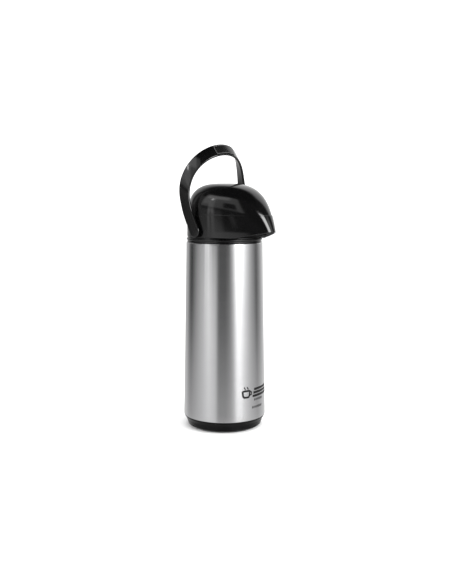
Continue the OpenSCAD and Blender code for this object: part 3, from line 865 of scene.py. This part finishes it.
class Studio:
    """World nodes that paint soft-edged panels by direction: turn right of the camera, and rise."""

    def __init__(self):
        made = bpy.data.worlds.new("studio")
        bpy.context.scene.world = made
        made.use_nodes = True
        self.nodes, self.links = made.node_tree.nodes, made.node_tree.links
        where = self.nodes.new("ShaderNodeTexCoord")
        split = self.nodes.new("ShaderNodeSeparateXYZ")
        self.links.new(where.outputs["Generated"], split.inputs[0])
        heading = self.math("ARCTAN2", split.outputs["Y"], split.outputs["X"])
        facing = math.radians(CAMERA_TURN - 90)
        degrees = 180 / math.pi
        self.turn = self.math("MULTIPLY", self.math("SUBTRACT", heading, facing), degrees)
        self.rise = self.math("MULTIPLY", self.math("ARCSINE", split.outputs["Z"]), degrees)

    def math(self, kind, *values):
        made = self.nodes.new("ShaderNodeMath")
        made.operation = kind
        for slot, value in zip(made.inputs, values):
            if isinstance(value, (int, float)):
                slot.default_value = value
            else:
                self.links.new(value, slot)
        return made.outputs[0]

    def fade(self, value, start, end):
        """0 below start, 1 above end, smooth between; end may be below start."""
        made = self.nodes.new("ShaderNodeMapRange")
        made.interpolation_type = "SMOOTHSTEP"
        made.inputs["From Min"].default_value = start
        made.inputs["From Max"].default_value = end
        self.links.new(value, made.inputs["Value"])
        return made.outputs["Result"]

    def panel(self, left, right, low, high, level, soft=8.0, soft_up=8.0):
        """A panel between two turns and two rises, with edges that fade over soft and soft_up."""
        middle, half = (left + right) / 2, (right - left) / 2
        away = self.math("WRAP", self.math("SUBTRACT", self.turn, middle), 180, -180)
        across = self.fade(self.math("ABSOLUTE", away), half + soft / 2, half - soft / 2)
        bottom = self.fade(self.rise, low - soft_up / 2, low + soft_up / 2)
        top = self.fade(self.rise, high + soft_up / 2, high - soft_up / 2)
        shape = self.math("MULTIPLY", across, self.math("MULTIPLY", bottom, top))
        return self.math("MULTIPLY", shape, level)

    def ring(self, stops):
        """Brightness all round the horizon, from (turn, level) stops that start and end at -180, 180."""
        turned = self.math("ADD", self.math("WRAP", self.turn, 180, -180), 180)
        made = self.nodes.new("ShaderNodeValToRGB")
        elements = made.color_ramp.elements
        for turn, level in stops:
            if turn == -180:
                stop = elements[0]
            elif turn == 180:
                stop = elements[-1]
            else:
                stop = elements.new((turn + 180) / 360)
            stop.color = (level, level, level, 1)
        self.links.new(self.math("DIVIDE", turned, 360), made.inputs["Fac"])
        return made.outputs["Color"]

    def total(self, values):
        out = values[0]
        for value in values[1:]:
            out = self.math("ADD", out, value)
        return out

    def finish(self, seen):
        """Reflections see the panels; everything else sees an even white surround."""
        white = (1, 1, 1, 1)
        shine = self.nodes["Background"]
        self.links.new(seen, shine.inputs["Strength"])
        shine.inputs["Color"].default_value = white
        plain = self.nodes.new("ShaderNodeBackground")
        plain.inputs["Strength"].default_value = SURROUND
        plain.inputs["Color"].default_value = white
        rays = self.nodes.new("ShaderNodeLightPath")
        mix = self.nodes.new("ShaderNodeMixShader")
        self.links.new(rays.outputs["Is Glossy Ray"], mix.inputs[0])
        self.links.new(plain.outputs[0], mix.inputs[1])
        self.links.new(shine.outputs[0], mix.inputs[2])
        self.links.new(mix.outputs[0], self.nodes["World Output"].inputs["Surface"])


# (turn, level) round the table's edge, which the steel sees
TABLE_EDGE = [
    (-180, 0.62), (-150, 0.55), (-138, 0.5), (-124, 0.12), (-112, 0.0), (-101, 0.16), (-90, 0.34),
    (-72, 0.62), (-56, 0.9), (-45, 1.2), (-37, 1.1), (-29, 0.95), (-24, 0.7), (-18, 0.08), (-12, 0.0),
    (3, 0.0), (12, 0.14), (20, 0.3), (28, 0.7), (36, 1.6), (46, 1.75), (56, 1.15), (68, 0.85),
    (80, 0.55), (94, 0.33), (108, 0.07), (122, 0.28), (140, 0.6), (156, 0.85), (180, 0.62),
]
# (turn, level) at eye level, which the head sees: two lamp tubes left of the camera, a wide lamp right
EYE_LEVEL = [
    (-180, 0.62), (-150, 0.55), (-134, 0.25), (-118, 0.06), (-100, 0.12), (-84, 0.3), (-72, 0.42),
    (-61.5, 0.42), (-58.5, 1.25), (-55.5, 1.2), (-53, 0.45), (-50.5, 1.2), (-48, 1.15), (-45, 0.42),
    (-38.5, 0.36), (-35.5, 0.08), (0, 0.08), (14, 0.12), (24, 1.0), (36, 2.4), (56, 2.4), (72, 1.2),
    (84, 0.6), (96, 0.3), (108, 0.2), (120, 0.3), (132, 0.7), (150, 0.85), (180, 0.62),
]


def world():
    """A white studio: soft panels either side of the camera, dark flags between, a pale table."""
    studio = Studio()
    times, plus = partial(studio.math, "MULTIPLY"), partial(studio.math, "ADD")
    table_edge = studio.ring(TABLE_EDGE)
    on_table = studio.fade(studio.rise, -6, -16)
    beyond = studio.math("SUBTRACT", 1, on_table)
    table_top = plus(times(studio.math("MINIMUM", table_edge, 1.6), 0.27), 0.56)
    edge = times(table_edge, studio.fade(studio.rise, 0, -4))
    eye_band = times(studio.fade(studio.rise, -4, 0), studio.fade(studio.rise, 17, 7))
    studio.finish(studio.total([
        plus(times(edge, beyond), times(table_top, on_table)),
        times(studio.ring(EYE_LEVEL), eye_band),
        # room, seen faintly all round
        studio.panel(-180, 180, 10, 58, 0.05, soft_up=14),
        # window left of the camera: pane, a dark notch in it, its bright top, left side, a bright bar
        studio.panel(-84, -17, 16, 53, 0.8, soft=5, soft_up=4),
        studio.panel(-35, -23, 18, 31, -0.78, soft=2, soft_up=3.5),
        studio.panel(-74, -30, 41, 54, 1.0, soft=8, soft_up=5),
        studio.panel(-78, -58, 22, 46, 0.6, soft=8),
        studio.panel(-59, -47, 8, 44, 0.7, soft=4),
        # small lamp, and two small lights near the horizon
        studio.panel(-55.5, -53, 35.5, 40.5, 12.0, soft=2.2, soft_up=2.5),
        studio.panel(-30.5, -27.5, 2.5, 5, 0.45, soft=1, soft_up=1),
        studio.panel(-46, -37, -1, 0.4, 0.35, soft=2, soft_up=0.7),
        # key lamp to the right, with a dim panel beside it
        studio.panel(33, 60, 12, 41, 13.0, soft=13, soft_up=8),
        studio.panel(60, 92, 12, 36, 1.2, soft=24),
        # backdrop behind the object, and a dim panel on its left
        studio.panel(122, 180, 9, 52, 1.1, soft=16, soft_up=14),
        studio.panel(178, 226, 9, 42, 0.65, soft=10, soft_up=22),
        studio.panel(-124, -84, 10, 40, 0.25, soft=16),
    ]))


# ---- Putting it together ---------------------------------------------------------------------

camera()
floor()
world()
softbox("key_right", turn=60, up=0.9, distance=1.3, size=0.8, power=14)
softbox("overhead", turn=30, up=2.2, distance=0.5, size=1.6, power=15)
bpy.context.scene.view_settings.view_transform = "Standard"

dress_nodes()
for hidden_part in ("beak_tray", "spout_tube"):
    bpy.data.objects[hidden_part].data.materials[0] = TRAY
finish_piece(head_shell(), "head", "black_gloss", "head_shell")
finish_piece(press_cover(), "cover", "black_gloss", "press_cover")
finish_piece(handle(), "handle", "black_gloss", "handle")
finish_piece(handle_grip(), "handle", "rubber", "handle_grip", material=GRIP)
# the grip's bead takes the pale grey material with a painted highlight in its colour
finish_piece(grip_rim(), "handle", "black_gloss", material=RIM_PAINTED_HIGHLIGHT)
finish_piece(steel_sleeve(), "flask", "sleeve_steel", "steel_sleeve")
finish_piece(neck_collar(), "flask", "black_gloss", "neck_collar")
finish_piece(base_cap(), "flask", "black_satin", "base_cap", material=BASE)
finish_piece(foot_pad(), "flask", "rubber", "foot_pad")
finish_piece(printed_mark(), "flask", "black_satin", material=INK)
finish_piece(bellows(), "head", "rubber", "bellows")
finish_piece(return_spring(), "head", "fixings", "return_spring")
for soft in ("bellows_folds", "return_spring_coil"):
    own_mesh(bpy.data.objects[soft])
